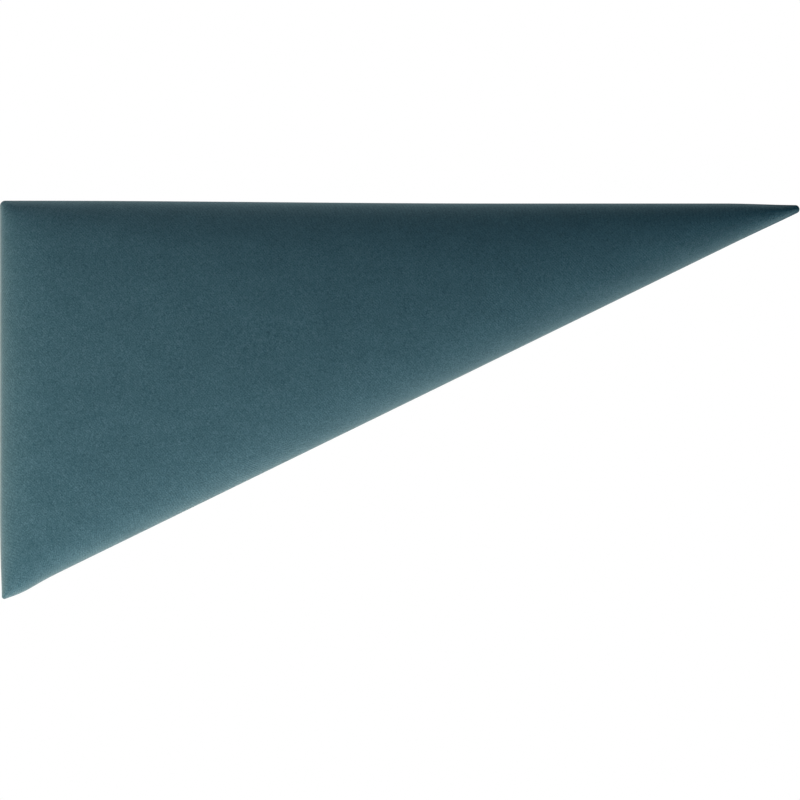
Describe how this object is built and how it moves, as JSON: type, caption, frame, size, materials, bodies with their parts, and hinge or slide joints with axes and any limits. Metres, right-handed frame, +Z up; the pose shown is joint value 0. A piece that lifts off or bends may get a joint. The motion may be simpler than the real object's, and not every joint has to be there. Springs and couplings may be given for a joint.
{
  "type": "upholstered wall panel",
  "caption": "Right-triangular padded wall panel: velvet stretched over wadding and foam on a rigid board, stapled at the back, with hook-and-loop pads for hanging it on a wall.",
  "frame": {"origin": "middle of the centre hook pad's glued face, on the wall: 100 mm in from the left edge and 50 mm down from the top edge", "axes": "+X to the right along the long top edge, +Y into the wall, +Z up; the velvet face looks to -Y"},
  "size_m": [0.3, 0.0381, 0.1487],
  "materials": {
    "velvet": "matte",
    "wadding": "matte",
    "foam": "matte",
    "board": "matte",
    "staple_wire": "satin",
    "loop_tape": "matte",
    "hook_tape": "matte"
  },
  "bodies": {
    "root": {"back_board": "board", "foam_core": "foam", "wadding_layer": "wadding", "velvet_cover": "velvet", "hook_pad_centre": "hook_tape", "hook_pad_lower_left": "hook_tape", "hook_pad_right": "hook_tape", "hook_pad_top_left": "hook_tape", "loop_pad_centre": "loop_tape", "loop_pad_lower_left": "loop_tape", "loop_pad_right": "loop_tape", "loop_pad_top_left": "loop_tape", "staple_left_01": "staple_wire", "staple_left_02": "staple_wire", "staple_left_03": "staple_wire", "staple_left_04": "staple_wire", "staple_left_05": "staple_wire", "staple_lower_corner": "staple_wire", "staple_sharp_corner": "staple_wire", "staple_slope_01": "staple_wire", "staple_slope_02": "staple_wire", "staple_slope_03": "staple_wire", "staple_slope_04": "staple_wire", "staple_slope_05": "staple_wire", "staple_slope_06": "staple_wire", "staple_slope_07": "staple_wire", "staple_slope_08": "staple_wire", "staple_slope_09": "staple_wire", "staple_slope_10": "staple_wire", "staple_slope_11": "staple_wire", "staple_slope_12": "staple_wire", "staple_slope_13": "staple_wire", "staple_square_corner": "staple_wire", "staple_top_01": "staple_wire", "staple_top_02": "staple_wire", "staple_top_03": "staple_wire", "staple_top_04": "staple_wire", "staple_top_05": "staple_wire", "staple_top_06": "staple_wire", "staple_top_07": "staple_wire", "staple_top_08": "staple_wire", "staple_top_09": "staple_wire", "staple_top_10": "staple_wire", "staple_top_11": "staple_wire"}
  },
  "joints": []
}
